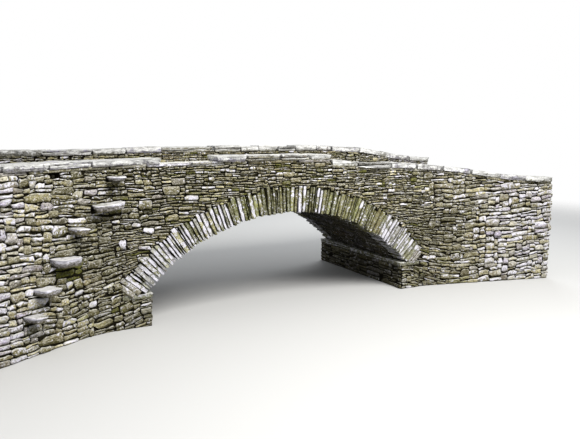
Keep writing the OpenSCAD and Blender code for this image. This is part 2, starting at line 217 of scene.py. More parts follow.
# materials
# colours that the slates share
tints = {
    "warm": (1.06, 0.98, 0.64),
    "olive": (0.91, 1.03, 0.66),
    "cool": (0.99, 0.945, 1.46),
    "rust": (0.19, 0.135, 0.06),
    "soot": (0.066, 0.058, 0.028),
    # grey of the lichen on tops, darkened as painted shade
    "shadedLichenTop": (0.62, 0.62, 0.60),
    "lichenGrey": (0.47, 0.475, 0.45),
    "topShade": (0.5, 0.5, 0.5),
    # dark of the lower edges of stones: partly stain, partly painted shade
    "stainAndShade": (0.043, 0.037, 0.008),
    "deepMossAndShade": (0.026, 0.030, 0.008),
    "mossBright": (0.19, 0.19, 0.028),
    "damp": (0.055, 0.056, 0.040),
    "crack": (0.034, 0.027, 0.011),
}
# dark, middle and pale tone of each slate, and how much lichen and moss it carries, from 0 to 1; how damp
# its foot is; how many lichen patches to a metre and how much they keep to the upper edge; how strong the
# painted highlight on the upper edge and the painted shade, partly stain, on the lower edge are; how
# strongly the layers show; how much more lichen the tops carry and how much painted shade darkens them; and
# the white of the lichen
slateShared = {"damp": 0.0, "patch": 15.0, "crown": 0.0, "stainAndShade": 0.0, "leaves": 1.0, "top": 0.1,
               "paintedTopShade": 0.0, "white": (0.84, 0.822, 0.93)}
slateLooks = {
    "wall": {"dark": (0.053, 0.047, 0.012), "mid": (0.240, 0.222, 0.138), "pale": (0.72, 0.69, 0.59),
             "lichen": 0.52, "moss": 0.40, "damp": 0.35, "patch": 17.0, "crown": 0.16, "stainAndShade": 0.85,
             "top": 0.12},
    "ring": {"dark": (0.046, 0.046, 0.012), "mid": (0.230, 0.229, 0.120), "pale": (0.56, 0.56, 0.44),
             "lichen": 0.60, "moss": 0.66, "damp": 0.15, "patch": 8.0, "crown": 0.16, "stainAndShade": 0.55,
             "leaves": 0.45, "top": 0.12},
    "coping": {"dark": (0.085, 0.078, 0.040), "mid": (0.33, 0.325, 0.275), "pale": (0.66, 0.65, 0.62),
               "lichen": 0.90, "moss": 0.28, "patch": 10.0, "crown": 0.34, "stainAndShade": 0.60, "leaves": 0.75,
               "top": -0.12, "paintedTopShade": 0.42, "white": (0.85, 0.85, 0.84)},
    "step": {"dark": (0.085, 0.068, 0.032), "mid": (0.34, 0.315, 0.25), "pale": (0.68, 0.655, 0.70),
             "lichen": 0.50, "moss": 0.25, "crown": 1.3, "stainAndShade": 0.9, "leaves": 0.7, "top": 0.12},
    "footing": {"dark": (0.030, 0.025, 0.009), "mid": (0.13, 0.118, 0.064), "pale": (0.28, 0.27, 0.21),
                "lichen": 0.15, "moss": 0.45, "damp": 0.5, "crown": 0.1, "stainAndShade": 0.9},
    "soffit": {"dark": (0.022, 0.020, 0.009), "mid": (0.072, 0.067, 0.040), "pale": (0.16, 0.155, 0.13),
               "lichen": 0.05, "moss": 0.25, "damp": 0.6},
    "road": {"dark": (0.095, 0.088, 0.070), "mid": (0.22, 0.21, 0.175), "pale": (0.38, 0.37, 0.33),
             "lichen": 0.12, "moss": 0.46},
}


# the marks of a stone are its tone, its hue, which goes from cool over warm to olive, and its growth,
# which is lichen above 0 and moss below
def slate(name, look):
    sh = Shader(name)
    grain, marks, upper = sh.attribute("grain", 1), sh.attribute("marks", 1), sh.attribute("upper", 2)
    tone, hue, growth = [sh.part(marks, k) for k in range(3)]
    place = sh.place()
    reach, height = sh.part(place, 0), sh.part(place, 2)
    facing = sh.part(sh.node("ShaderNodeNewGeometry", None, None, 1), 2)

    # bedding of the slate: thin layers across each stone's thickness
    layers = sh.clouds(sh.stretch(grain, (8, 8, 75)), 1.0, 4.0, 0.62, 0.3)
    cracks = sh.clouds(sh.stretch(grain, (9, 9, 230), (3, 5, 7)), 1.0, 3.0, 0.6, 0.4)
    blotch = sh.clouds(grain, 18.0, 4.0, 0.6)
    mottle = sh.clouds(sh.stretch(grain, (34, 34, 60), (1, 2, 3)), 1.0, 3.0, 0.6)
    specks = sh.clouds(grain, 150.0, 3.0, 0.7)
    stains = sh.clouds(place, 1.5, 5.0, 0.6, 0.4)

    base = sh.mix(tone.band(-0.05, 0.50), look["dark"], look["mid"])
    base = sh.mix(tone.band(0.45, 0.95), base, look["pale"])
    for mask, tint in ((hue.band(0.40, 0.95), "warm"), (hue.band(1.0, 1.7), "olive"),
                       ((1 - hue).band(0.5, 0.85), "cool")):
        base = sh.mix(mask, base, tints[tint], "MULTIPLY")
    for mask, shade in ((blotch.band(0.44, 0.64) * 0.65, "dark"),
                        (layers.band(0.50, 0.68) * 0.5 * look["leaves"], "pale"),
                        ((1 - layers).band(0.54, 0.68) * 0.65 * look["leaves"], "dark"),
                        (mottle.band(0.52, 0.63) * 0.6, "pale"),
                        ((1 - mottle).band(0.52, 0.63) * 0.6, "dark"),
                        (specks.band(0.54, 0.68) * 0.45, "pale")):
        base = sh.mix(mask, base, look[shade])

    # rusty and sooty streaks
    base = sh.mix(stains.band(0.52, 0.64) * blotch.band(0.42, 0.6) * 0.5, base, tints["rust"])
    base = sh.mix((1 - stains).band(0.54, 0.66) * 0.45, base, tints["soot"])

    # white crusts of lichen with ragged edges, more on stones that carry a lot of growth
    crust = sh.clouds(grain, look["patch"], 6.0, 0.70, 0.3) * 1.5 - 0.25
    crust = crust + sh.clouds(place, 5.0, 4.0, 0.6) * 0.5
    crust = crust + growth * 0.30 + facing.clip() * look["top"] + (upper - 0.5) * look["crown"]
    edge = 1.20 - 0.30 * look["lichen"]
    white = crust.band(edge, edge + 0.05) * (1 - specks.band(0.57, 0.63) * 0.55)
    base = sh.mix(crust.band(edge - 0.09, edge + 0.01) * 0.5, base, tints["lichenGrey"])
    # lichen on tops takes a greyer colour as painted shade, so that lit tops don't come out brighter than
    # the faces
    crustColour = sh.mix(facing.band(0.4, 0.8), look["white"], tints["shadedLichenTop"])
    base = sh.mix(white * (specks * 0.6 + 0.65).clip(), base, crustColour)

    # painted shade: broad tops are darkened so that they don't come out brighter than the faces
    if look["paintedTopShade"]:
        base = sh.mix(facing.band(0.4, 0.8) * look["paintedTopShade"], base, tints["topShade"], "MULTIPLY")

    # small round spots of lichen in loose groups
    spots = (1 - sh.cells(grain, 30.0)).band(0.66, 0.74) * sh.clouds(place, 9.0, 3.0, 0.6).band(0.50, 0.58)
    base = sh.mix(spots * 0.8 * (1 - facing.clip() * 0.6), base, crustColour)

    # painted highlight on the upper edge and painted shade, partly stain, on the lower edge
    rim = upper + (blotch - 0.5) * 0.9
    base = sh.mix(rim.band(0.72, 0.98) * 0.45 * look["stainAndShade"], base, look["pale"])
    base = sh.mix((1 - rim).band(0.62, 0.92) * look["stainAndShade"], base, tints["stainAndShade"])

    # moss where stones face up, where the wall stays wet and on stones marked for it
    wet = sh.clouds(place, 2.4, 6.0, 0.65, 0.5)
    moss = wet + facing.clip() * 0.20 + (growth * -1).clip() * 0.45 + sh.clouds(place, 48.0, 3.0, 0.7) * 0.24
    edge = 0.99 - 0.30 * look["moss"]
    green = moss.band(edge, edge + 0.10)
    tufts = sh.clouds(place, 34.0, 5.0, 0.75).band(0.42, 0.60) * 0.8 + mottle.band(0.4, 0.62) * 0.2
    # the moss is dark between its tufts: partly its own deep green, partly painted shade
    base = sh.mix(green * 0.85, base, sh.mix(tufts, tints["deepMossAndShade"], tints["mossBright"]))

    # damp, darker foot by the waterway
    foot = (1 - height.band(0.05, 0.7)) * look["damp"] * stains.band(0.32, 0.6)
    foot = foot * (1 - reach.maths("ABSOLUTE").band(3.0, 3.8))
    base = sh.mix(foot, base, tints["damp"])

    # dark hair cracks between the layers
    base = sh.mix((1 - cracks).band(0.56, 0.66) * 0.6 * (1 - green), base, tints["crack"])

    relief = layers * 0.6 + blotch * 0.5 + mottle * 0.35 + specks * 0.2 + white * 0.12
    relief = relief + green * 0.45 + cracks.band(0.34, 0.46) * 0.35
    rough = (0.88 - layers * 0.10 + green * 0.1).clip()
    return sh.finish(base, rough, relief, 0.8, 0.012)


# dark packing seen in the open joints
def packing(name, deep, lit, scale):
    sh = Shader(name)
    place = sh.place()
    lumps = sh.clouds(place, scale, 6.0, 0.7)
    chips = sh.cells(place, scale * 4)
    base = sh.mix(lumps.band(0.38, 0.66), deep, lit)
    base = sh.mix(chips.band(0.28, 0.6) * 0.5, base, deep)
    return sh.finish(base, 0.95 - lumps * 0.08, lumps + chips * 0.6, 1.0, 0.03)


# trodden earth with grit and stones in it
def earth(name):
    sh = Shader(name)
    place = sh.place()
    lumps = sh.clouds(place, 3.2, 7.0, 0.68, 0.3)
    grit = 1 - sh.cells(place, 42.0)
    stones = 1 - sh.cells(place, 9.0, "SMOOTH_F1")
    base = sh.mix(lumps.band(0.35, 0.68), (0.07, 0.05, 0.03), (0.18, 0.14, 0.09))
    base = sh.mix(stones.band(0.62, 0.78) * 0.6, base, (0.24, 0.23, 0.20))
    base = sh.mix(grit.band(0.68, 0.85) * 0.7, base, (0.33, 0.31, 0.27))
    return sh.finish(base, 0.97 - lumps * 0.06, lumps * 0.8 + stones * 0.6 + grit * 0.2, 1.0, 0.04)


slates = {key: slate(key + "Slate", dict(slateShared, **look)) for key, look in slateLooks.items()}
# the packing in the open joints is near-black: partly its own dark colour, partly painted shade deep in the
# joints
shadedJointPacking = packing("shadedJointPacking", (0.004, 0.003, 0.001), (0.023, 0.019, 0.006), 14.0)
dampPacking = packing("dampPacking", (0.005, 0.0045, 0.0035), (0.02, 0.018, 0.013), 14.0)
roadPacking = packing("roadPacking", (0.05, 0.042, 0.028), (0.125, 0.105, 0.07), 20.0)
fillEarth = earth("fillEarth")
print("materials made")


# master stones: split slates with cut corners and a broken face, in three classes of length to
# height; a corner loses a share of the height at the end and of the length along the bed
masterLook = {
    "shapes": 14,
    "lengths": (1.35, 2.5, 4.4),
    "classes": (1.8, 3.2),
    "endHalf": (0.08, 0.34),
    "corner": (0.04, 0.34),
    "wedge": (0.15, 0.42),
    "wedgeShare": 0.55,
    "twoWedges": 0.3,
    "mostCut": 0.75,
    "wavy": 0.12,
    "depth": 3.4,
    "rings": ((0.05, 0.12), (0.10, 0.03)),
    "belly": (-0.03, 0.09),
    "slant": 0.30,
    "faceJitter": 0.09,
}


# points along one bed of a stone, from its left corner to its right one
def bedLine(rng, way, cutA, cutB, count):
    points = [(-0.5 + cutA, way * (0.5 - rng.uniform(0, 0.06)))]
    for k in range(1, count + 1):
        x = -0.5 + cutA + (1 - cutA - cutB) * (k + rng.uniform(-0.25, 0.25)) / (count + 1)
        points.append((x, way * (0.5 - rng.uniform(0, masterLook["wavy"]))))
    return points + [(0.5 - cutB, way * (0.5 - rng.uniform(0, 0.10)))]


def masterStone(rng, aspect, fine):
    cut = [rng.uniform(*masterLook["corner"]) / aspect for _ in range(4)]
    for k in rng.sample(range(4), 2 if rng.random() < masterLook["twoWedges"] else 1):
        if rng.random() < masterLook["wedgeShare"]:
            cut[k] = rng.uniform(*masterLook["wedge"])
    for a, b in ((0, 1), (2, 3)):
        over = max(1.0, (cut[a] + cut[b]) / masterLook["mostCut"])
        cut[a], cut[b] = cut[a] / over, cut[b] / over
    ends = []
    for way in (-1, 1):
        half = rng.uniform(*masterLook["endHalf"])
        middle = rng.uniform(-1, 1) * (0.40 - half)
        tip = [(way * (0.5 + rng.uniform(0, 0.05) / aspect), middle)] if fine else []
        ends.append([(way * 0.5, middle + way * half)] + tip + [(way * 0.5, middle - way * half)])
    beds = 2 if fine else 1
    outline = bedLine(rng, -1, cut[0], cut[1], beds) + ends[1][::-1]
    outline += bedLine(rng, 1, cut[3], cut[2], beds)[::-1] + ends[0][::-1]
    bm = bmesh.new()
    bmesh.ops.create_circle(bm, cap_ends=True, segments=len(outline), radius=0.5)
    ring = [loop.vert for loop in bm.faces[:][0].loops]
    if bm.faces[:][0].normal.z < 0:
        ring.reverse()
    for v, (x, z) in zip(ring, outline):
        v.co = (x * aspect, 0, z)
    made = bmesh.ops.extrude_face_region(bm, geom=bm.faces[:])
    back = [g for g in made["geom"] if isinstance(g, bmesh.types.BMVert)]
    bmesh.ops.translate(bm, vec=(0, masterLook["depth"], 0), verts=back)
    bmesh.ops.recalc_face_normals(bm, faces=bm.faces)
    face = min(bm.faces, key=lambda f: f.calc_center_median().y)
    for thickness, depth in masterLook["rings"][:2 if fine else 1]:
        bmesh.ops.inset_individual(bm, faces=[face], thickness=thickness, depth=depth)
    bmesh.ops.poke(bm, faces=[face], offset=rng.uniform(*masterLook["belly"]))
    slantX, slantZ = [rng.uniform(-1, 1) * masterLook["slant"] for _ in range(2)]
    for v in bm.verts:
        if v.co.y < masterLook["depth"] / 2:
            jitter = rng.uniform(-1, 1) * masterLook["faceJitter"]
            v.co.y += slantX * v.co.x / aspect + slantZ * v.co.z + jitter
    bmesh.ops.recalc_face_normals(bm, faces=bm.faces)
    spot = np.array([v.co[:] for v in bm.verts])
    low, high = spot.min(axis=0), spot.max(axis=0)
    faces = [[v.index for v in f.verts] for f in bm.faces]
    bm.free()
    return (spot - (low + high) / 2) / (high - low), faces


masterRandom = random.Random(7)
fineMasters, plainMasters = [[[masterStone(masterRandom, aspect, fine) for _ in range(masterLook["shapes"])]
                              for aspect in masterLook["lengths"]] for fine in (True, False)]
print("master stones:", len(fineMasters[0]), "shapes in each of", len(fineMasters), "classes")


# laying stones on a line of cells: far is higher than any wall, what differs by less than slack counts
# as level, and a pinning stone is no taller than pinTall
cell, far, slack, pinTall = 0.01, 1e9, 0.012, 0.09


def smooth(v, low, high):
    t = min(max((v - low) / (high - low), 0), 1)
    return t * t * (3 - 2 * t)


# how the courses bend: where the climb on the wings starts, how long it is and how high it gets; the
# hump over the haunches, by its outer and inner end, the length of both slopes, its height and the levels
# between which it fades; two small waves; and the levels between which everything fades
sagLook = {
    "wing": (3.9, 2.4, 0.22),
    "haunch": (4.0, 1.25, 1.2, 1.4, 0.26),
    "haunchFade": (0.75, 1.75),
    "waves": (0.012, 0.008),
    "fade": (1.9, 2.62),
}


# how far a bed joint lies above its level line
def sag(s, z):
    a = abs(s)
    start, reach, climb = sagLook["wing"]
    wing = np.clip((a - start) / reach, 0, 1) * climb
    outer, outerRun, inner, innerRun, climb = sagLook["haunch"]
    haunch = np.clip((outer - a) / outerRun, 0, 1) ** 1.5 * np.clip((a - inner) / innerRun, 0, 1) * climb
    haunch = haunch * (1 - smooth(z, *sagLook["haunchFade"]))
    broad, small = sagLook["waves"]
    wave = broad * math.sin(s * 2.9 + 1.3) + small * math.sin(s * 6.7 + z * 1.5)
    return float((wing + haunch + wave) * (1 - smooth(z, *sagLook["fade"])))


def flat(s, z):
    return z - sag(s, z)


def lifted(s, level):
    z = level
    for _ in range(12):
        z = level + sag(s, z)
    return z


# a strip of wall cut into cells: their count and places, and its foot and its top at each of them
def strip(low, high, floor, top):
    count = int(round((high - low) / cell))
    spots = low + (np.arange(count) + 0.5) * cell
    foot, limit = [np.array([line(u) for u in spots], dtype=float) for line in (floor, top)]
    return count, spots, foot, limit


# fills a strip with stones from its lowest gaps up, as a waller does, round what already stands in it
def layStones(low, high, floor, top, blocks, sizes, rng):
    count, spots, line, limit = strip(low, high, floor, top)
    walls = [np.array([block(u) or (np.nan, np.nan) for u in spots]).T for block in blocks]
    laid = []
    while True:
        cap = limit.copy()
        with np.errstate(invalid="ignore"):
            for under, over in walls:
                hit = (line > under - slack) & (line < over)
                line[hit] = over[hit]
            for under, over in walls:
                hit = under > line
                cap[hit] = np.minimum(cap[hit], under[hit])
        free = line < limit - slack
        if not free.any():
            return laid
        i = int(np.argmin(np.where(free, line, far)))
        z = line[i]
        ends = []
        for onward, stop in ((-1, 0), (1, count - 1)):
            k = i
            while k != stop and free[k + onward] and line[k + onward] - z < sizes["step"] \
                    and abs(line[k + onward] - line[k]) < slack:
                k += onward
            ends.append(k)
        a, b = ends
        run = (b - a + 1) * cell
        rim = min(line[a - 1] if a > 0 else far, line[b + 1] if b < count - 1 else far)
        long, usual = sizes["pick"](low + i * cell, z, rng)
        if run < sizes["least"]:
            # a pinning stone fills a narrow gap, and a crack too narrow for one stays open
            room = float(cap[a:b + 1].min()) - z
            tall = min(room, max(rim - z, 0.02) if rim < far else usual, run * 1.3, pinTall)
            if run > 0.022 and tall > 0.014:
                laid.append((low + a * cell, low + (b + 1) * cell, z, z + tall))
            line[a:b + 1] = np.maximum(line[a:b + 1], z + max(tall, 0.01))
            continue
        length = min(long, run)
        if run - length < sizes["least"]:
            length = run if run < long * 1.5 else run * rng.uniform(0.4, 0.6)
        n = max(1, int(round(length / cell)))
        if (rng.random() < 0.5) if rim == far else (a > 0 and line[a - 1] <= rim):
            p, q = a, min(a + n - 1, b)
        else:
            p, q = max(b - n + 1, a), b
        base = float(line[p:q + 1].min()) * 0.5 + float(line[p:q + 1].mean()) * 0.5
        room = float(cap[p:q + 1].min()) - base
        tall = usual
        # a stone finishes level with its neighbour where that is near
        for v in (line[p - 1] if p > 0 else far, line[q + 1] if q < count - 1 else far):
            if abs(v - base - tall) < 0.018:
                tall = v - base
        if room < tall + sizes["thin"]:
            tall = room if room < tall * 1.6 else room * 0.5
        if tall > slack:
            laid.append((low + p * cell, low + (q + 1) * cell, base, base + tall))
        line[p:q + 1] = np.maximum(line[p:q + 1], base + max(tall, slack))


# pinning stones for the holes that the laying leaves, found on a grid of cells
def pinned(laid, low, high, floor, top, blocks, sizes):
    half = cell / 2
    count, spots, foot, limit = strip(low, high, floor, top)
    base = foot.min()
    tall = int(math.ceil((limit.max() - base) / cell))
    levels = base + (np.arange(tall) + 0.5) * cell
    free = (levels[None, :] > foot[:, None]) & (levels[None, :] < limit[:, None])
    for a, b, z0, z1 in laid:
        i, j = int(round((a - low) / cell)), int(round((b - low) / cell))
        free[i:j, (levels > z0 - half) & (levels < z1 + half)] = False
    for block in blocks:
        for i, u in enumerate(spots):
            pair = block(u)
            if pair:
                free[i, (levels > pair[0] - half) & (levels < pair[1] + half)] = False
    extra = []
    for i in range(count):
        for k in np.flatnonzero(free[i]):
            if not free[i, k]:
                continue
            j, m = i, k
            while j < count - 1 and free[j + 1, k] and j - i < sizes["pinLength"] / cell:
                j += 1
            while m < tall - 1 and free[i:j + 1, m + 1].all() and m - k < sizes["pinHeight"] / cell:
                m += 1
            if j - i >= 1 and m > k:
                extra.append((spots[i] - half, spots[j] + half, levels[k] - half, levels[m] + half))
                free[i:j + 1, k:m + 1] = False
    return laid + extra


# waves that all the stones of a wall share, so that neighbours keep to each other: amount along and up
waveLook = ((0.034, 0.028, Vector((6.0, 6.0, 15.0))), (0.010, 0.012, Vector((19.0, 19.0, 30.0))))


def waved(points, centre, along, inward):
    for k, point in enumerate(points):
        here = Vector(point) - inward * (Vector(point) - centre).dot(inward)
        moved = Vector()
        for wide, high, scale in waveLook:
            spot = here * scale
            moved += along * (wide * noise.noise(spot + Vector((31, 7, 3))))
            moved.z += high * noise.noise(spot)
        calm = 0.55 + 0.45 * smooth(abs(point[0]), 2.0, 3.2)
        points[k] += np.array(moved) * calm * min(1.0, max(0.0, point[2] / 0.09))
    return points


# each stone is cut from another place of the grain
def grainShift(rng):
    return np.array([rng.uniform(0, 40) for _ in range(3)])


# a heap of stones or slates that becomes one mesh, with each point's place in its own stone, its stone's
# marks and how far up its stone it is
class Heap:
    def __init__(self, masters, rng, waves=False):
        self.masters, self.rng, self.waves = masters, rng, waves
        self.spots, self.grains, self.marks, self.uppers, self.faces = [], [], [], [], []
        self.total = 0

    # centre of the stone's face, the way the face looks, its upward way, its size and how far it stands
    # out; lean turns it in the face and tilt is the most that it turns by chance
    def add(self, centre, out, up, size, proud, tilt=0.05, lean=0.0, marks=None):
        rng = self.rng
        ratio = size[0] / max(size[2], 0.01)
        kind = sum(ratio >= limit for limit in masterLook["classes"])
        spot, faces = self.masters[kind][rng.randrange(masterLook["shapes"])]
        flip = -1 if rng.random() < 0.5 else 1
        local = spot * np.array((flip * size[0], size[1], size[2]))
        if flip < 0:
            faces = [f[::-1] for f in faces]
        inward = -out
        along = inward.cross(up).normalized()
        own = rng.uniform(-1, 1) * min(0.09, 0.013 / size[0])
        turn = Matrix.Rotation(rng.uniform(-tilt, tilt), 3, "Z")
        turn = turn @ Matrix.Rotation(rng.uniform(-tilt, tilt), 3, "X")
        turned = local @ np.array(turn @ Matrix.Rotation(-lean - own, 3, "Y")).T
        turned[:, 1] += size[1] / 2 - proud
        placed = turned @ np.array(Matrix((along, inward, up)).transposed()).T + np.array(centre)
        if self.waves:
            # the same way along for both faces of a stone's joint, whichever way it looks
            placed = waved(placed, centre, along if along.x > 0 else -along, inward)
        placed[:, 2] = np.maximum(placed[:, 2], 0)
        grain = local + grainShift(rng)
        marks = marks or (rng.random(), rng.random(), rng.random())
        self.take(placed, grain, spot[:, 2] + 0.5, faces, marks)

    def take(self, placed, grain, upper, faces, marks):
        self.spots.append(placed)
        self.grains.append(grain)
        self.marks.append(np.tile(marks, (len(placed), 1)))
        self.uppers.append(upper)
        self.faces.extend([[v + self.total for v in f] for f in faces])
        self.total += len(placed)

    def build(self, name, material, nodes=()):
        mesh = bpy.data.meshes.new(name)
        mesh.from_pydata(np.concatenate(self.spots).tolist(), [], self.faces)
        for label, values in (("grain", self.grains), ("marks", self.marks)):
            layer = mesh.attributes.new(label, "FLOAT_VECTOR", "POINT")
            layer.data.foreach_set("vector", np.concatenate(values).astype(np.float32).ravel())
        layer = mesh.attributes.new("upper", "FLOAT", "POINT")
        layer.data.foreach_set("value", np.concatenate(self.uppers).astype(np.float32))
        mesh.polygons.foreach_set("use_smooth", [True] * len(mesh.polygons))
        mesh.set_sharp_from_angle(angle=math.radians(30))
        mesh.materials.append(material)
        piece = bpy.data.objects.new(name, mesh)
        bpy.context.scene.collection.objects.link(piece)
        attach(piece, "root")
        if nodes:
            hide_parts(*nodes)
        print(name, len(self.spots), "stones", sum(len(f) - 2 for f in self.faces), "triangles")


# what the walls are laid round
# stile steps: share of the wing's length, length, height of the top, thickness and tilt to the right
steps = [(0.728, 0.27, 0.62, 0.085, 3), (0.696, 0.32, 0.985, 0.105, 3), (0.638, 0.43, 1.37, 0.13, 1),
         (0.594, 0.28, 1.775, 0.095, 5), (0.514, 0.49, 2.11, 0.10, -6), (0.489, 0.27, 2.53, 0.075, 0)]
lostStone = (-0.648 * wingEnd[-1] - 0.095, -0.648 * wingEnd[-1] + 0.095)

# stones of the front left that stand out: start and end along the wall, foot, top, tone, hue and growth
keyStones = [
    (-3.10, -2.96, 1.32, 1.49, 1.0, 0.4, 1.2), (-2.72, -2.51, 1.56, 1.67, 1.0, 0.4, 1.2),
    (-2.88, -2.735, 1.66, 1.77, 0.80, 0.35, 0.6), (-2.72, -2.44, 1.685, 1.78, 0.30, 0.3, 0.0),
    (-3.81, -3.62, 2.215, 2.34, 0.74, 0.6, 0.2), (-3.61, -3.42, 2.23, 2.345, 0.66, 0.0, 0.0),
    (-3.75, -3.52, 2.115, 2.205, 0.76, 0.35, 0.3), (-3.60, -3.42, 2.46, 2.54, 0.55, 0.3, 0.2),
    (-3.80, -3.53, 2.36, 2.44, 0.62, 0.4, 0.2), (-4.40, -4.19, 2.08, 2.21, 0.64, 0.0, 0.1),
    (-4.39, -4.22, 1.62, 1.78, 0.66, 0.9, 0.1), (-4.66, -4.44, 2.09, 2.21, 0.85, 0.8, 0.5),
    (-4.27, -4.10, 1.97, 2.07, 0.50, 0.6, 0.0), (-4.71, -4.58, 1.50, 1.64, 0.62, 0.6, 0.1),
    (-4.97, -4.79, 1.41, 1.53, 0.50, 0.6, 0.1), (-4.74, -4.43, 1.24, 1.34, 0.62, 0.1, 0.3),
    (-4.96, -4.74, 0.86, 1.00, 0.66, 0.6, 0.2), (-3.88, -3.73, 0.69, 0.81, 0.95, 0.4, 1.1),
    (-3.63, -3.48, 0.45, 0.57, 0.95, 0.4, 1.1), (-4.77, -4.64, 1.08, 1.18, 0.66, 0.8, 0.4),
    (-2.21, -1.96, 2.33, 2.47, 0.42, 0.3, 0.0), (-1.69, -1.45, 2.25, 2.31, 0.95, 0.5, 1.0),
    (-2.54, -2.37, 2.12, 2.21, 0.50, 0.0, 0.0), (-1.18, -1.05, 2.52, 2.58, 0.95, 0.5, 1.0),
    (-3.17, -3.09, 2.25, 2.31, 0.95, 0.4, 1.1), (-2.76, -2.60, 0.35, 0.42, 0.95, 0.6, 0.9),
    (-2.78, -2.60, 0.215, 0.335, 0.66, 0.5, 0.5), (-2.80, -2.60, 1.10, 1.19, 0.62, 0.2, 0.9),
    (-2.78, -2.58, 1.29, 1.37, 0.8, 0.2, 0.9), (-2.86, -2.68, 0.90, 0.98, 0.9, 0.4, 1.0),
]


# the foot of the ring on its springer
def skewZ(a):
    return springZ + (a - halfSpan) * (footZ - springZ) / (footX - halfSpan)


# the voussoirs, by their tops as their solids have them
def ringBlock(node):
    tops = sorted({(round(v.co.x, 4), round(v.co.z, 4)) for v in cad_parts[node].data.vertices
                   if math.hypot(v.co.x, v.co.z - archZ) > archRadius + 0.3})
    xs, zs = np.array(tops).T

    def block(s):
        a = abs(s)
        if a > footX:
            return None
        over = float(np.interp(s, xs, zs))
        if a < faceX:
            return (-5, flat(s, over))
        if a < halfSpan:
            return (flat(s, springZ), flat(s, over))
        return (flat(s, skewZ(a)), flat(s, max(over, skewZ(a) + 0.03)))
    return block


# the triangle between the ledge and the first voussoir belongs to the springers
def springerBlock(s):
    if not halfSpan < abs(s) < footX + 0.02:
        return None
    over = skewZ(abs(s))
    return (flat(s, max(springZ, over - 0.19)), flat(s, over))


def ledgeBlock(s):
    inside = faceX - 0.03 < abs(s) < wingX
    return (flat(s, springZ - bridge["ledge"]), flat(s, springZ)) if inside else None


def stepBlock(share, length, level, thick, tilt):
    middle = -share * wingEnd[-1]

    def block(s):
        if abs(s - middle) > length / 2 + 0.004:
            return None
        over = level - (s - middle) * math.tan(math.radians(tilt))
        return (flat(s, over - thick), flat(s, over))
    return block


def keyBlock(key):
    s0, s1, z0, z1 = key[:4]
    middle = (s0 + s1) / 2
    return lambda s: (flat(middle, z0), flat(middle, z1)) if s0 < s < s1 else None


def gapBlock(s):
    rim = wallTop(s, -1)
    return (flat(s, rim - 0.085), flat(s, rim + 0.01)) if lostStone[0] < s < lostStone[1] else None


# rubble sizes: length and height over the arch, what the wings add and what their foot adds, how much
# both vary and their limits; then the shares of odd stones, added up, with how much longer and taller
sizeLook = {
    "long": (0.165, 0.045, 0.03),
    "tall": (0.047, 0.026, 0.016),
    "vary": (0.38, 0.30),
    "limits": (0.07, 0.5, 0.026, 0.17),
    "odd": ((0.06, 1.35, 1.8), (0.14, 0.55, 1.3), (0.27, 1.3, 0.6)),
}


def wallSizes(s, z, rng):
    out = smooth(abs(s), 2.6, 4.2)
    low = 1 - smooth(z, 1.2, 2.7)
    wave = math.sin(s * 2.3 + z * 31) * math.sin(s * 0.9 - z * 17 + 2)
    usual, onWing, below = sizeLook["long"]
    long = (usual + onWing * out + below * low) * rng.lognormvariate(0, sizeLook["vary"][0])
    usual, onWing, below = sizeLook["tall"]
    tall = (usual + onWing * out + below * low * out) * rng.lognormvariate(0.16 * wave, sizeLook["vary"][1])
    chance = rng.random()
    for share, longer, taller in sizeLook["odd"]:
        if chance < share:
            long, tall = long * longer, tall * taller
            break
    shortest, longest, thinnest, tallest = sizeLook["limits"]
    return min(max(long, shortest), longest), min(max(tall, thinnest), tallest)


def courseSizes(longMean, tallMean):
    def pick(s, z, rng):
        return (min(max(rng.lognormvariate(math.log(longMean), 0.38), 0.06), longMean * 3),
                min(max(rng.lognormvariate(math.log(tallMean), 0.3), tallMean * 0.5), tallMean * 2))
    return pick


# tones of the walling: over the arch, what the wings add and how much they vary; the share, tone and
# growth of white stones; the share of mossy ones; a damp patch, by its ends and levels; and soft spots
# of light and shade, by their strength, place and reach
toneLook = {
    "arch": 0.31,
    "wings": 0.47,
    "vary": 0.25,
    "whites": (0.06, 0.95, 1.1),
    "mossy": 0.12,
    "wet": (-4.22, -3.68, 1.0, 1.27),
    "light": (0.2, 2.7, 1.25, 0.16, 0.25),
    "shade": (-0.5, 3.34, 1.25, 0.42, 0.5),
    "corner": (-0.25, 3.47, 1.87, 0.25, 0.13),
}


# marks of the walling: paler out on the wings, darker over the haunches, with painted shade under the steps
# and a spot of painted light, and moss over the arch and under the third step
def wallTone(s, z, rng):
    a = abs(s)
    left = smooth(a, 3.9, 5.0)
    middle = toneLook["arch"] + toneLook["wings"] * left - 0.05 * left * smooth(z, 1.4, 2.2)
    spots = {}
    for name in ("light", "shade", "corner"):
        strength, s0, z0, wide, high = toneLook[name]
        spots[name] = math.exp(-((a - s0) / wide) ** 2 - ((z - z0) / high) ** 2)
        middle += strength * spots[name]
    tone = min(max(rng.gauss(middle, toneLook["vary"]), 0.0), 1.0)
    growth = rng.random() ** (2.0 - 0.8 * left) * (0.62 + 0.6 * middle) + 0.17 * left
    growth *= 1 - 0.8 * spots["shade"]
    chance = rng.random()
    share, whiteTone, whiteGrowth = toneLook["whites"]
    if chance < share * (1 - spots["shade"]):
        tone, growth = whiteTone, whiteGrowth
    elif chance > 1 - toneLook["mossy"] * (1 - smooth(a, 2.9, 3.5)):
        growth = -rng.uniform(0.3, 0.8)
    s0, s1, z0, z1 = toneLook["wet"]
    if s0 < s < s1 and z0 < z < z1:
        growth = -1.0
    hue = rng.random() ** (0.35 + 0.75 * left) + rng.random() * 0.6 * (1 - left)
    return tone, hue, growth


# width of the joints at the ends and on the beds, how much both vary and how much wider they are over
# the arch; how deep a stone goes in, how far it stands out and how much it tilts
wallLook = {"endJoint": 0.011, "bedJoint": 0.023, "endVary": (0.3, 1.4), "bedVary": (0.3, 1.35),
            "archJoint": 0.45, "depth": 0.13, "proud": (0.013, 0.040), "tilt": 0.06}


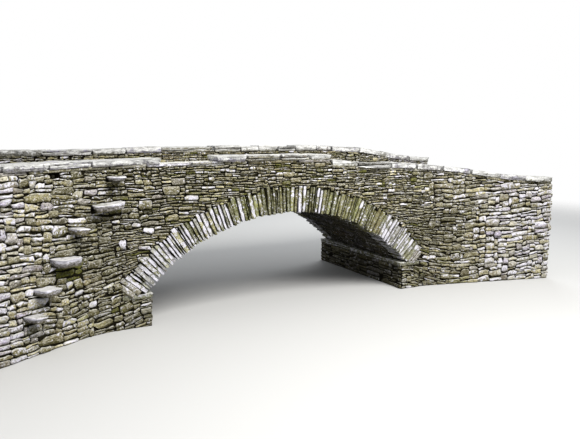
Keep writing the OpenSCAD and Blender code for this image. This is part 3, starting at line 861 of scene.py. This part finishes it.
# lays the stones of one wall: at gives the point and facing for a place along it, warped walls are given
# in levelled heights, and tones gives each stone's marks
def fillWall(heap, laid, at, warped=False, tones=None, proud=wallLook["proud"], keys=()):
    rng = heap.rng
    upright = Vector((0, 0, 1))
    entries = [(q, None) for q in laid]
    for s0, s1, z0, z1, *marks in keys:
        middle = (s0 + s1) / 2
        entries.append(((s0, s1, flat(middle, z0), flat(middle, z1)), marks))
    for (a, b, z0, z1), marks in entries:
        u = (a + b) / 2
        lean = 0.0
        if warped:
            lean = math.atan2(lifted(b, z0) - lifted(a, z0), b - a)
            z0, z1 = lifted(u, z0), lifted(u, z1)
        z = (z0 + z1) / 2
        centre, out = at(u)
        wider = 1 + wallLook["archJoint"] * (1 - smooth(abs(u), 2.2, 3.4)) if warped else 1
        endGap = min(wallLook["endJoint"] * wider * rng.uniform(*wallLook["endVary"]), 0.25 * (b - a))
        bedGap = min(wallLook["bedJoint"] * wider * rng.uniform(*wallLook["bedVary"]), 0.42 * (z1 - z0))
        long, tall = b - a - endGap, z1 - z0 - bedGap
        if long < 0.012 or tall < 0.008:
            continue
        onward = at(u + 0.01)[0] - centre
        lean *= 1 if onward.dot((-out).cross(upright)) > 0 else -1
        lift = rng.uniform(*proud) * min(1.0, 0.55 + tall * 9)
        centre.z = z
        heap.add(centre, out, upright, (long * 1.02, wallLook["depth"], tall * 1.03), lift, wallLook["tilt"],
                 lean, marks or (tones(u, z, rng) if tones else None))


def outerFace(side):
    return lambda s: planPoint(s, 0, side)


def innerFace(side):
    def at(s):
        point, out = planPoint(s, wallThick, side)
        return point, -out
    return at


def endFace(way, side):
    def at(n):
        point, out = planPoint(way * wingEnd[way], n, side)
        return point, Vector((out.y * side * way, -out.x * side * way, 0))
    return at


# a plain face across the bridge that looks along it
def crossFace(x, way):
    return lambda y: (Vector((x, y, 0)), Vector((way, 0, 0)))


common = {"least": 0.06, "thin": 0.02, "step": 0.03, "pinLength": 0.14, "pinHeight": 0.06}


# sizes of stones in rough courses, for places that look much the same everywhere
def courses(longMean, tallMean, **changes):
    return dict(common, pick=courseSizes(longMean, tallMean), **changes)


# front and back faces from wing end to wing end, in pieces under the limit on triangles
for side, label, node in ((-1, "front", "front_arch_ring"), (1, "back", "back_arch_ring")):
    rng = random.Random(100 + side)
    blocks = [ringBlock(node), ledgeBlock]
    keys = keyStones if side < 0 else []
    if side < 0:
        blocks += [stepBlock(*step) for step in steps] + [gapBlock] + [keyBlock(k) for k in keyStones]
    blocks.append(springerBlock)
    span = (-wingEnd[-1] - 0.015, wingEnd[1] + 0.015, lambda s: flat(s, 0.0),
            lambda s: flat(s, wallTop(s, side)))
    laid = layStones(*span, blocks, dict(common, pick=wallSizes), rng)
    laid = pinned(laid, *span, blocks, common)
    for part, low, high in (("left", -99, -2.6), ("middle", -2.6, 2.6), ("right", 2.6, 99)):
        heap = Heap(fineMasters if side < 0 else plainMasters, rng, True)
        here, hereKeys = [[q for q in group if low <= (q[0] + q[1]) / 2 < high] for group in (laid, keys)]
        fillWall(heap, here, outerFace(side), True, wallTone, keys=hereKeys)
        heap.build(label + "_wall_stones_" + part, slates["wall"])

# inner faces of the parapets
for side, label in ((-1, "front"), (1, "back")):
    heap = Heap(plainMasters, random.Random(200 + side), True)
    span = (-wingEnd[-1], wingEnd[1], lambda s: roadZ + deck(planPoint(s, wallThick, side)[0].x) - 0.01,
            lambda s: wallTop(s, side))
    laid = layStones(*span, [], courses(0.16, 0.048), heap.rng)
    fillWall(heap, pinned(laid, *span, [], common), innerFace(side), False, wallTone)
    heap.build(label + "_parapet_inner_stones", slates["wall"])


# lays level walls from the ground up and makes one piece of them; a wall is its two ends, its top and at,
# which gives the point and facing for a place along it
def plainWalls(name, seed, walls, sizes, slateName, proud=wallLook["proud"]):
    heap = Heap(plainMasters, random.Random(seed))
    for low, high, top, at in walls:
        laid = layStones(low, high, lambda u: 0.0, lambda u: top, [], sizes, heap.rng)
        fillWall(heap, laid, at, proud=proud)
    heap.build(name, slates[slateName])


# ends of the four wing walls
walls = [(-0.02, wallThick + 0.02, wallTop(way * wingEnd[way], side), endFace(way, side))
         for way in (-1, 1) for side in (-1, 1)]
plainWalls("wing_end_stones", 300, walls, courses(0.17, 0.06), "wall")

# springers: two slabs that lean like the first voussoirs, at each foot of both rings; size and how far
# below the ring
springerLook = {"slabs": (((0.40, 0.13, 0.10), 0.045), ((0.32, 0.13, 0.10), 0.14)), "proud": 0.014,
                "tilt": 0.02}
heap = Heap(fineMasters, random.Random(350))
skew = math.atan2(footZ - springZ, footX - halfSpan)
for side in (-1, 1):
    for way in (-1, 1):
        middle = (halfSpan + footX) / 2 + 0.03
        level = springZ + (middle - halfSpan) * math.tan(skew)
        for size, off in springerLook["slabs"]:
            point, out = planPoint(way * (middle + off * math.sin(skew)), 0, side)
            point.z = level - off * math.cos(skew)
            marks = (0.62, heap.rng.uniform(0.1, 0.5), heap.rng.uniform(0.4, 0.8))
            heap.add(point, out, Vector((0, 0, 1)), size, springerLook["proud"], springerLook["tilt"],
                     -skew * way * side, marks)
heap.build("springer_stones", slates["wall"])

# broken stones at the back of the hole that the lost stone left: place, length, height and how far back
heap = Heap(fineMasters, random.Random(360))
for share, long, tall, back in ((0.2, 0.07, 0.03, 0.09), (0.85, 0.06, 0.045, 0.10),
                                (0.55, 0.09, 0.025, 0.12)):
    s = lostStone[0] + (lostStone[1] - lostStone[0]) * share
    point, out = planPoint(s, 0, -1)
    point.z = wallTop(s, -1) - 0.083 + tall / 2
    heap.add(point, out, Vector((0, 0, 1)), (long, 0.08, tall), -back, 0.05, 0.1, (0.1, 0.85, 0.0))
heap.build("hole_stones", slates["wall"])

# waterway faces of the abutments
walls = [(-halfWidth, halfWidth, springZ - bridge["ledge"], crossFace(way * faceX, -way)) for way in (-1, 1)]
plainWalls("abutment_face_stones", 400, walls, courses(0.24, 0.075), "footing",
           (0.005, 0.03))

# rough stone packing on the open ends of the fill
walls = []
for way in (-1, 1):
    wide = planPoint(way * wingEnd[way], wallThick, 1)[0].y - 0.02
    walls.append((-wide, wide, roadZ + deck(way * endX[way]) - 0.02, crossFace(way * endX[way], way)))
plainWalls("fill_end_stones", 500, walls, courses(0.27, 0.12, least=0.08, thin=0.03), "wall",
           (0.005, 0.05))
print("walls laid")

# soffit: slates on edge, each row running across the bridge
soffitLook = {"rowThick": 0.074, "longMean": 0.34, "proud": (0.004, 0.024)}
heap = Heap(plainMasters, random.Random(600))
rows = int(round(2 * halfAngle * archRadius / soffitLook["rowThick"]))
edges = np.cumsum([0] + [heap.rng.uniform(0.75, 1.3) for _ in range(rows)])
edges = -halfAngle + edges / edges[-1] * 2 * halfAngle
for k in range(rows):
    middle = (edges[k] + edges[k + 1]) / 2
    thick = (edges[k + 1] - edges[k]) * archRadius
    out = Vector((-math.sin(middle), 0, -math.cos(middle)))
    up = Vector((math.cos(middle), 0, -math.sin(middle)))
    x, z = archRadius * math.sin(middle), archZ + archRadius * math.cos(middle)
    y = -coreWidth
    while y < coreWidth - 0.02:
        length = min(max(heap.rng.lognormvariate(math.log(soffitLook["longMean"]), 0.35), 0.14), 0.75)
        if coreWidth - y - length < 0.15:
            length = coreWidth - y
        proud = heap.rng.uniform(*soffitLook["proud"])
        heap.add(Vector((x, y + length / 2, z)), out, up, (length - 0.008, 0.1, thick - 0.005), proud, 0.03)
        y += length
heap.build("soffit_slates", slates["soffit"])


# half the width of the road at a place along the bridge
def innerY(x):
    way = 1 if x >= 0 else -1
    low, high = 0.0, wingEnd[way]
    for _ in range(24):
        s = (low + high) / 2
        if abs(planPoint(way * s, wallThick, 1)[0].x) < abs(x):
            low = s
        else:
            high = s
    return planPoint(way * low, wallThick, 1)[0].y


# road: flat pitched stones between the parapets
roadLook = {"longMean": 0.19, "wideMean": 0.115, "proud": (0.004, 0.018), "joint": 0.008}
heap = Heap(plainMasters, random.Random(700))
sizes = courses(roadLook["longMean"], roadLook["wideMean"], least=0.07, thin=0.04, step=0.05)
for a, b, y0, y1 in layStones(-endX[-1], endX[1], lambda x: -innerY(x), innerY, [], sizes, heap.rng):
    x = (a + b) / 2
    slope = math.atan2(deck(x + 0.1) - deck(x - 0.1), 0.2)
    out = Vector((-math.sin(slope), 0, math.cos(slope)))
    size = (b - a - roadLook["joint"], 0.06, y1 - y0 - roadLook["joint"])
    heap.add(Vector((x, (y0 + y1) / 2, roadZ + deck(x))), out, Vector((0, 1, 0)), size,
             heap.rng.uniform(*roadLook["proud"]), 0.04)
heap.build("road_stones", slates["road"])
print("soffit and road laid")


# big slates: the solids' own shapes, split finely, with worn, layered and ragged edges
# spacing of the cuts along, across and through the slate; how far its edges are worn, how far it stays
# back from its neighbours, how far its edges wander at three scales, how much its layers stand out, how
# far its top rolls, how much it narrows downward, how often it is split in two, how wide that gap is and
# how strong the small rolls are; lengths are those that a long bed is broken into
bigLooks = {
    "coping": {"cuts": (0.045, 0.09, 0.016), "worn": 0.009, "back": 0.006, "ragged": (0.040, 0.030, 0.008),
               "layers": 0.010, "waves": 0.020, "taper": 0.03, "split": 0.35, "gap": 0.012, "wobble": 0.5},
    "bed": {"cuts": (0.045, 0.12, 0.018), "worn": 0.010, "back": 0.006, "ragged": (0.030, 0.030, 0.014),
            "layers": 0.008, "waves": 0.008, "taper": 0.01, "split": 0.3, "gap": 0.008, "wobble": 0.6,
            "lengths": (0.14, 0.38)},
    "step": {"cuts": (0.03, 0.04, 0.015), "worn": 0.014, "back": 0.004, "ragged": (0.022, 0.016, 0.008),
             "layers": 0.009, "waves": 0.020, "taper": 0.055, "split": 0.0, "gap": 0.0, "wobble": 0.6},
    "ledge": {"cuts": (0.06, 0.10, 0.018), "worn": 0.010, "back": 0.004, "ragged": (0.014, 0.012, 0.006),
              "layers": 0.008, "waves": 0.006, "taper": 0.01, "split": 0.4, "gap": 0.008, "wobble": 0.6},
    "voussoir": {"cuts": (0.045, 0.14, 0.024), "worn": 0.010, "back": 0.006, "ragged": (0.010, 0.008, 0.004),
                 "layers": 0.0, "waves": 0.009, "taper": 0.0, "split": 0.08, "gap": 0.010, "wobble": 1.6},
}
# only for voussoirs: how far their ends and their face go in or out, how far they lean, and how much they
# narrow over which share of their length at the ends
voussoirLook = {"pull": (-0.026, 0.014), "lean": (-0.028, 0.028), "face": (-0.016, 0.008),
                "tip": 0.012, "tipShare": 0.16}
# how fine the wear is: the wandering of the edges, the layers along and through a slate, and the rolls
# of its top, broad and small
wearScale = {"ragged": (2.6, 9.0, 30.0), "layers": (3, 55), "rolls": (1.9, 9)}

# where a coping slab is lost and the bed under it lies bare
slabGap = (-2.35, -1.41)


# one closed shape for each slate of a node
def wholeSlates(node):
    bm = bmesh.new()
    bm.from_mesh(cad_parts[node].data)
    bmesh.ops.remove_doubles(bm, verts=bm.verts, dist=1e-5)
    bmesh.ops.dissolve_limit(bm, angle_limit=math.radians(1), verts=bm.verts, edges=bm.edges)
    seen, wholes = set(), []
    for start in bm.verts:
        if start in seen:
            continue
        stack, group = [start], []
        seen.add(start)
        while stack:
            v = stack.pop()
            group.append(v)
            for e in v.link_edges:
                w = e.other_vert(v)
                if w not in seen:
                    seen.add(w)
                    stack.append(w)
        whole = bmesh.new()
        copies = {v: whole.verts.new(v.co) for v in group}
        for face in dict.fromkeys(f for v in group for f in v.link_faces):
            whole.faces.new([copies[v] for v in face.verts])
        wholes.append(whole)
    bm.free()
    return wholes


# a slate's own axes: along it, across it and through its layers
def slateAxes(bm, centre, upright):
    if upright:
        angle = math.atan2(centre.x, centre.z - archZ)
        first = Vector((math.sin(angle), 0, math.cos(angle)))
        third = Vector((math.cos(angle), 0, -math.sin(angle)))
    else:
        longEdge = max(bm.edges, key=lambda e: e.calc_length())
        first = longEdge.verts[1].co - longEdge.verts[0].co
        first = Vector((first.x, first.y, 0)).normalized()
        third = Vector((0, 0, 1))
    return first, third.cross(first).normalized(), third


# cuts a closed shape in two at a plane and leaves a gap between the halves
def splitApart(bm, at, along, gap):
    other = bm.copy()
    for part, way in ((bm, 1), (other, -1)):
        cut = bmesh.ops.bisect_plane(part, geom=part.verts[:] + part.edges[:] + part.faces[:], dist=1e-6,
                                     plane_co=at - along * way * gap / 2, plane_no=along * way,
                                     clear_outer=True)
        rim = [g for g in cut["geom_cut"] if isinstance(g, bmesh.types.BMEdge)]
        bmesh.ops.contextual_create(part, geom=rim)
    return other


# a slate as it lies now: broken across in several lengths, split through its layers, or whole
def slateParts(bm, centre, axes, look, rng):
    first, _, third = axes
    parts = [bm]
    if "lengths" in look and not slabGap[0] < centre.x < slabGap[1]:
        reach = [(v.co - centre).dot(first) for v in bm.verts]
        at = min(reach) + rng.uniform(*look["lengths"])
        while at < max(reach) - 0.09:
            parts.append(splitApart(parts[-1], centre + first * at, first, look["gap"]))
            at += rng.uniform(*look["lengths"])
    elif rng.random() < look["split"]:
        at = centre + third * rng.uniform(-0.012, 0.012)
        parts.append(splitApart(bm, at, third, look["gap"] * rng.uniform(0.6, 1.3)))
    return parts


# cuts a slate finely along its own axes; returns the ends of its reach along each of them
def cutFine(bm, centre, axes, look):
    bmesh.ops.recalc_face_normals(bm, faces=bm.faces)
    bmesh.ops.bevel(bm, geom=bm.edges[:], offset=look["worn"], segments=1, profile=0.5, affect="EDGES",
                    material=-1, clamp_overlap=True)
    limits = []
    for axis, spacing in zip(axes, look["cuts"]):
        reach = [(v.co - centre).dot(axis) for v in bm.verts]
        low, high = min(reach), max(reach)
        limits.append((low, high))
        cuts = int((high - low) / spacing)
        for k in range(1, cuts + 1):
            at = low + (high - low) * k / (cuts + 1)
            bmesh.ops.bisect_plane(bm, geom=bm.verts[:] + bm.edges[:] + bm.faces[:], dist=1e-4,
                                   plane_co=centre + axis * at, plane_no=axis)
    bmesh.ops.triangulate(bm, faces=bm.faces)
    bm.normal_update()
    return limits


# wears and shifts a finely cut slate; returns how far up the slate each of its points is
def weather(bm, centre, axes, limits, look, upright, rng):
    first, second, third = axes
    flatly, deeply = wearScale["layers"]
    broad, small = wearScale["rolls"]
    shift = Vector([rng.uniform(0, 50) for _ in range(3)])
    if upright:
        pullLow, pullHigh = [rng.uniform(*voussoirLook["pull"]) for _ in range(2)]
        lean, face = rng.uniform(*voussoirLook["lean"]), rng.uniform(*voussoirLook["face"])
    else:
        lift = rng.uniform(-0.8, 0.4) * look["waves"]
    moves, upper = [], []
    for v in bm.verts:
        own = v.co - centre
        share = [(own.dot(axis) - low) / max(high - low, 1e-4) for axis, (low, high) in zip(axes, limits)]
        drift = sum(amount * noise.noise(v.co * scale + shift)
                    for amount, scale in zip(look["ragged"], wearScale["ragged"]))
        leaf = Vector((own.dot(first) * flatly, own.dot(second) * flatly, own.dot(third) * deeply))
        drift += noise.noise(leaf + shift) * look["layers"] - look["back"]
        push = (v.normal - third * v.normal.dot(third)) * (drift - look["taper"] * (1 - share[2]) ** 1.4)
        roll = noise.noise(v.co * broad + shift) * look["waves"]
        roll += noise.noise(v.co * small + shift) * look["waves"] * look["wobble"]
        if upright:
            tip = max(0.0, 1 - min(share[0], 1 - share[0]) / voussoirLook["tipShare"]) ** 2
            push += third * v.normal.dot(third) * (roll - look["back"] - voussoirLook["tip"] * tip)
            push += third * lean * own.dot(first)
            push += first * (pullLow if share[0] < 0.5 else pullHigh) * abs(v.normal.dot(first))
            push.y += v.normal.y * face
        else:
            push += third * (roll + lift) * share[2] ** 0.7 * abs(v.normal.dot(third))
        moves.append(push)
        upper.append(1 - abs(2 * share[2] - 1) if upright else share[2])
    for v, push in zip(bm.verts, moves):
        v.co += push
    bmesh.ops.recalc_face_normals(bm, faces=bm.faces)
    bm.verts.index_update()
    return np.array(upper)


def roughSlates(nodes, name, look, material, seed, tones, upright=False):
    heap = Heap(None, random.Random(seed))
    rng = heap.rng
    for whole in [w for node in nodes for w in wholeSlates(node)]:
        centre = sum((v.co for v in whole.verts), Vector()) / len(whole.verts)
        axes = slateAxes(whole, centre, upright)
        for bm in slateParts(whole, centre, axes, look, rng):
            limits = cutFine(bm, centre, axes, look)
            upper = weather(bm, centre, axes, limits, look, upright, rng)
            here = np.array([v.co[:] for v in bm.verts])
            grain = (here - np.array(centre)) @ np.array(axes).T + grainShift(rng)
            heap.take(here, grain, upper, [[v.index for v in f.verts] for f in bm.faces], tones(centre, rng))
            bm.free()
    heap.build(name, material, nodes)


# tone, hue and growth of a slate, each drawn from its own span
def drawn(rng, *spans):
    return tuple(rng.uniform(*span) for span in spans)


# white voussoirs thick with lichen stand between plain beige and dark ones
def ringTone(centre, rng):
    chance = rng.random()
    if abs(centre.x) > 2.1:
        return drawn(rng, (0.45, 1.0), (0.1, 0.8), (0.6, 1.25))
    # voussoirs on the right are darker: partly browner stone with less lichen, partly painted shade of the
    # plants that are left out
    if centre.x > 0.85:
        return drawn(rng, (0.05, 0.6), (0.7, 1.7), (-0.1, 0.65))
    whites = 0.22 if centre.x > -0.8 else 0.52
    if chance < whites:
        return drawn(rng, (0.5, 1.0), (0.3, 1.0), (0.7, 1.25))
    if chance < whites + 0.22:
        return drawn(rng, (0.0, 0.3), (0.8, 1.8), (-0.2, 0.3))
    return drawn(rng, (0.15, 0.7), (0.7, 1.8), (0.0, 0.85))


# the coping is palest at the front left and has more lichen at the back right
def copingTone(centre, rng):
    if centre.y < 0 and centre.x < slabGap[0]:
        return drawn(rng, (0.6, 1.0), (0.1, 0.5), (0.8, 1.3))
    more = 0.3 if centre.y > 0 and centre.x > 1.2 else 0.0
    return drawn(rng, (0.35, 1.0), (0.15, 0.7), (0.55 + more, 1.15 + more))


# the bed slabs are dull under the coping and pale where a coping slab is lost
def bedTone(centre, rng):
    if slabGap[0] < centre.x < slabGap[1]:
        return drawn(rng, (0.85, 1.0), (0.2, 0.5), (0.9, 1.2))
    return drawn(rng, (0.1, 0.75), (0.3, 0.9), (0.0, 0.6))


def ledgeTone(centre, rng):
    return drawn(rng, (0.4, 0.7), (0.1, 0.45), (0.55, 0.9))


# the fourth step is duller than the others
def stepTone(centre, rng):
    if 1.6 < centre.z < 1.9:
        return 0.5, 0.9, 0.2
    return drawn(rng, (0.6, 0.85), (0.35, 0.6), (0.6, 0.95))


stretches = ("left", "crown", "right")
for side in ("front", "back"):
    roughSlates([side + "_arch_ring"], side + "_voussoirs", bigLooks["voussoir"], slates["ring"],
                11, ringTone, True)
    roughSlates([side + "_coping_" + part for part in stretches], side + "_coping_slabs", bigLooks["coping"],
                slates["coping"], 12, copingTone)
roughSlates(["front_bed_" + part for part in stretches], "front_bed_slabs", bigLooks["bed"], slates["wall"],
            13, bedTone)
roughSlates(["stile_step_%d" % k for k in range(1, 7)], "stile_slates", bigLooks["step"], slates["step"],
            14, stepTone)
roughSlates(["left_springing_course", "right_springing_course"], "springing_slates", bigLooks["ledge"],
            slates["ring"], 15, ledgeTone)
print("big slates shaped")

# the solids that still show between the stones
cores = (("_fill", fillEarth), ("roadway", roadPacking), ("barrel", dampPacking), ("", shadedJointPacking))
for name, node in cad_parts.items():
    node.data.materials.clear()
    node.data.materials.append(next(material for word, material in cores if word in name))


# stage, light and camera
studio = {
    "floorHalf": 60,
    "floorZ": -0.002,
    "floorSeen": (0.58, 0.58, 0.575),
    "floorBounce": (0.16, 0.16, 0.15),
    "floorFade": (13.0, 22.0),
    "worldColour": (0.95, 0.97, 1.0, 1),
    "worldStrength": 0.54,
    "keyPower": 3700,
    "keySize": 8,
    "fillPower": 750,
    "fillSize": 9,
    "eye": (-5.02, -11.316, 3.2),
    "lookDown": 8.204,
    "lookRight": 27.42,
    "sensor": 36,
    "focalPixels": 600,
    "photoWidth": 580,
}
collection = bpy.context.scene.collection
bm = bmesh.new()
bmesh.ops.create_grid(bm, x_segments=1, y_segments=1, size=studio["floorHalf"])
floorMesh = bpy.data.meshes.new("floor")
bm.to_mesh(floorMesh)
bm.free()
floor = bpy.data.objects.new("floor", floorMesh)
floor.location.z = studio["floorZ"]
collection.objects.link(floor)
sh = Shader("floor")
place = sh.place()
mottle = sh.clouds(place, 0.8, 3.0, 0.5)
seen = sh.node("ShaderNodeLightPath", None, None, 0)
sh.finish(sh.mix(seen, studio["floorBounce"], studio["floorSeen"]), mottle * 0.05 + 0.9, mottle, 0.05, 0.01)
away = sh.node("ShaderNodeVectorMath", {"operation": "LENGTH"}, {0: place}, 1)
fade = 1 - away.band(*studio["floorFade"])
sh.tree.links.new(fade.socket, sh.surface.inputs["Alpha"])
floorMesh.materials.append(sh.material)
floor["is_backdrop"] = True

# soft light on the bridge, and plain white behind it for the camera
world = bpy.data.worlds.new("studio")
bpy.context.scene.world = world
world.use_nodes = True
nodes, links = world.node_tree.nodes, world.node_tree.links
nodes.clear()
rays, choose = nodes.new("ShaderNodeLightPath"), nodes.new("ShaderNodeMixShader")
links.new(rays.outputs["Is Camera Ray"], choose.inputs[0])
for k, colour, strength in ((1, studio["worldColour"], studio["worldStrength"]), (2, (1, 1, 1, 1), 1)):
    background = nodes.new("ShaderNodeBackground")
    background.inputs["Color"].default_value = colour
    background.inputs["Strength"].default_value = strength
    links.new(background.outputs[0], choose.inputs[k])
links.new(choose.outputs[0], nodes.new("ShaderNodeOutputWorld").inputs["Surface"])


def areaLight(name, power, size, place, target, colour):
    light = bpy.data.lights.new(name, "AREA")
    light.energy, light.size, light.color = power, size, colour
    lamp = bpy.data.objects.new(name, light)
    lamp.location = place
    lamp.rotation_euler = (Vector(target) - Vector(place)).to_track_quat("-Z", "Y").to_euler()
    collection.objects.link(lamp)


areaLight("key", studio["keyPower"], studio["keySize"], (2.5, -11.5, 13), (-1, 0, 1), (1, 0.985, 0.95))
areaLight("fill", studio["fillPower"], studio["fillSize"], (10, 9, 9), (0, 0, 1), (0.95, 0.98, 1))

camera = bpy.data.cameras.new("camera")
camera.sensor_width = studio["sensor"]
camera.lens = studio["focalPixels"] / studio["photoWidth"] * studio["sensor"]
eye = bpy.data.objects.new("camera", camera)
eye.location = studio["eye"]
eye.rotation_euler = (math.radians(90 - studio["lookDown"]), 0, math.radians(-studio["lookRight"]))
collection.objects.link(eye)
bpy.context.scene.camera = eye
bpy.context.scene.view_settings.view_transform = "Standard"
print("studio ready")

low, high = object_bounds()
